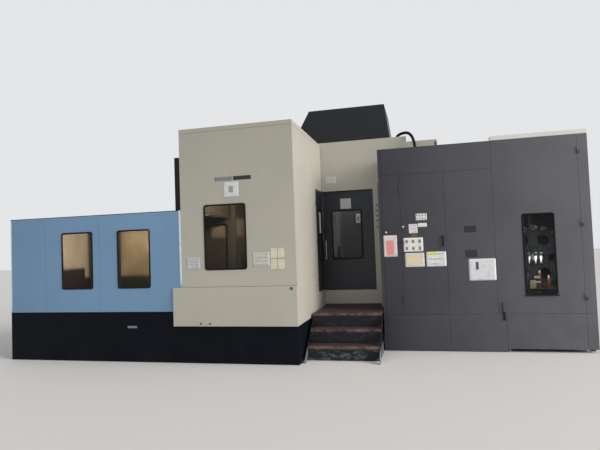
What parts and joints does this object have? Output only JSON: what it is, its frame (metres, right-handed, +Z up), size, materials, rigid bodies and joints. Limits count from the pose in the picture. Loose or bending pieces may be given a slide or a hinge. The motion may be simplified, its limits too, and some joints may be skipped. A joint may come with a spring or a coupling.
{
  "type": "cnc machining centre",
  "caption": "Large enclosed horizontal machining centre with pallet guard, window tower, operator bay with steps and sliding door, control cabinet and tool magazine.",
  "frame": {"origin": "centre of the footprint on the floor", "axes": "+X along the long front to the right, +Y into the depth away from the operator's side, +Z up"},
  "size_m": [9.11, 4.2, 4.34],
  "materials": {
    "frame_steel": "satin powder coat",
    "base_navy": "satin powder coat",
    "guard_blue": "satin powder coat",
    "black_rubber": "matt",
    "tinted_glass": "clear, tinted",
    "black_trim": "matt",
    "cream_paint": "fine texture powder coat",
    "hood_dark": "satin",
    "door_dark": "satin",
    "satin_steel": "brushed",
    "tread_red": "worn paint",
    "galvanised": "galvanised",
    "cabinet_grey": "textured powder coat",
    "white_paint": "satin",
    "pad_steel": "zinc plated",
    "console_grey": "satin",
    "screen_black": "gloss",
    "button_green": "gloss",
    "button_amber": "gloss",
    "stop_red": "gloss",
    "gear_grey": "matt",
    "drive_cream": "matt",
    "casting_grey": "painted casting",
    "ground_steel": "ground",
    "wheel_steel": "satin",
    "holder_steel": "turned"
  },
  "bodies": {
    "machine": {"base_cladding": "base_navy", "bay_door_rail": "frame_steel", "bay_front_panels": "cream_paint", "cabinet_front_panels": "cabinet_grey", "cabinet_shell_panels": "cabinet_grey", "cable_riser": "black_trim", "column_hood": "hood_dark", "console_fittings": "black_trim", "console_housing": "console_grey", "console_screen": "screen_black", "control_gear": "gear_grey", "drive_modules": "drive_cream", "enclosure_frame": "frame_steel", "fixed_hinge_halves": "satin_steel", "guard_outer_panels": "guard_blue", "guard_panels": "guard_blue", "guard_top_trim": "black_trim", "housing_panels": "cream_paint", "housing_roof_panels": "cream_paint", "levelling_pads": "pad_steel", "linear_rails": "ground_steel", "magazine_stand": "casting_grey", "main_bed": "casting_grey", "roof_cable_tray": "white_paint", "roof_hose": "black_rubber", "roof_hose_glands": "black_trim", "stair_frame": "galvanised", "stair_treads": "tread_red", "tower_cap": "cream_paint", "tower_front_panel": "cream_paint", "tower_side_panel": "cream_paint", "tower_skirt_panel": "cream_paint", "transfer_bed": "casting_grey", "window_gaskets": "black_rubber", "window_glass": "tinted_glass"},
    "bay_door": {"bay_door_leaf": "door_dark", "bay_door_gasket": "black_rubber", "bay_door_glass": "tinted_glass", "bay_door_fittings": "satin_steel"},
    "hatch": {"hatch_leaf": "door_dark", "hatch_glass": "tinted_glass", "hatch_gasket": "black_rubber", "hatch_handle": "satin_steel"},
    "cabinet_door": {"cabinet_door": "cabinet_grey"},
    "cabinet_lever": {"cabinet_door_lever": "black_trim"},
    "magazine_door": {"magazine_door": "cabinet_grey", "magazine_door_gasket": "black_rubber", "magazine_door_glass": "tinted_glass"},
    "start_button": {"button_cycle_start": "button_green"},
    "hold_button": {"button_feed_hold": "button_amber"},
    "stop_button": {"emergency_stop": "stop_red"},
    "feed_knob": {"knob_feed_override": "black_trim"},
    "saddle": {"table_saddle": "casting_grey"},
    "table": {"rotary_table": "ground_steel"},
    "column": {"machine_column": "casting_grey"},
    "head": {"spindle_head": "casting_grey"},
    "spindle": {"spindle": "ground_steel"},
    "cart": {"transfer_cart": "ground_steel"},
    "magazine": {"magazine_wheel": "wheel_steel", "tool_holders": "holder_steel"}
  },
  "joints": [
    {"name": "bay_door_slide", "type": "slide", "parent": "machine", "child": "bay_door", "axis": [1, 0, 0], "range_m": [0, 0.87]},
    {"name": "hatch_swing", "type": "hinge", "parent": "machine", "child": "hatch", "pos_m": [0.374, -0.5505, 1.8], "axis": [0, 0, -1], "range_deg": [0, 90]},
    {"name": "cabinet_door_swing", "type": "hinge", "parent": "machine", "child": "cabinet_door", "pos_m": [1.8235, -1, 1.68], "axis": [0, 0, -1], "range_deg": [0, 110]},
    {"name": "cabinet_lever_turn", "type": "hinge", "parent": "cabinet_door", "child": "cabinet_lever", "pos_m": [2.45, -0.991, 1.77], "axis": [0, -1, 0], "range_deg": [0, 90]},
    {"name": "magazine_door_swing", "type": "hinge", "parent": "machine", "child": "magazine_door", "pos_m": [4.4135, -1, 1.9], "axis": [0, 0, 1], "range_deg": [0, 110]},
    {"name": "start_press", "type": "slide", "parent": "machine", "child": "start_button", "axis": [1, 0, 0], "range_m": [0, 0.004], "stiffness_N_per_m": 400},
    {"name": "hold_press", "type": "slide", "parent": "machine", "child": "hold_button", "axis": [1, 0, 0], "range_m": [0, 0.004], "stiffness_N_per_m": 400},
    {"name": "stop_press", "type": "slide", "parent": "machine", "child": "stop_button", "axis": [1, 0, 0], "range_m": [0, 0.004], "stiffness_N_per_m": 400},
    {"name": "feed_knob_turn", "type": "hinge", "parent": "machine", "child": "feed_knob", "pos_m": [1.471, -0.731, 1.38], "axis": [1, 0, 0], "range_deg": [-135, 135]},
    {"name": "table_x", "type": "slide", "parent": "machine", "child": "saddle", "axis": [1, 0, 0], "range_m": [-0.35, 0.3]},
    {"name": "table_turn", "type": "hinge", "parent": "saddle", "child": "table", "pos_m": [-0.415, 0.975, 0.95], "axis": [0, 0, 1], "continuous": true},
    {"name": "column_y", "type": "slide", "parent": "machine", "child": "column", "axis": [0, 1, 0], "range_m": [-0.15, 0.15]},
    {"name": "head_z", "type": "slide", "parent": "column", "child": "head", "axis": [0, 0, 1], "range_m": [-0.4, 1.2]},
    {"name": "spindle_spin", "type": "hinge", "parent": "head", "child": "spindle", "pos_m": [0.305, 0.975, 2.05], "axis": [1, 0, 0], "continuous": true},
    {"name": "cart_x", "type": "slide", "parent": "machine", "child": "cart", "axis": [1, 0, 0], "range_m": [-2.9, 0.15]},
    {"name": "magazine_turn", "type": "hinge", "parent": "machine", "child": "magazine", "pos_m": [3.835, -0.471, 1.4], "axis": [0, -1, 0], "continuous": true}
  ]
}
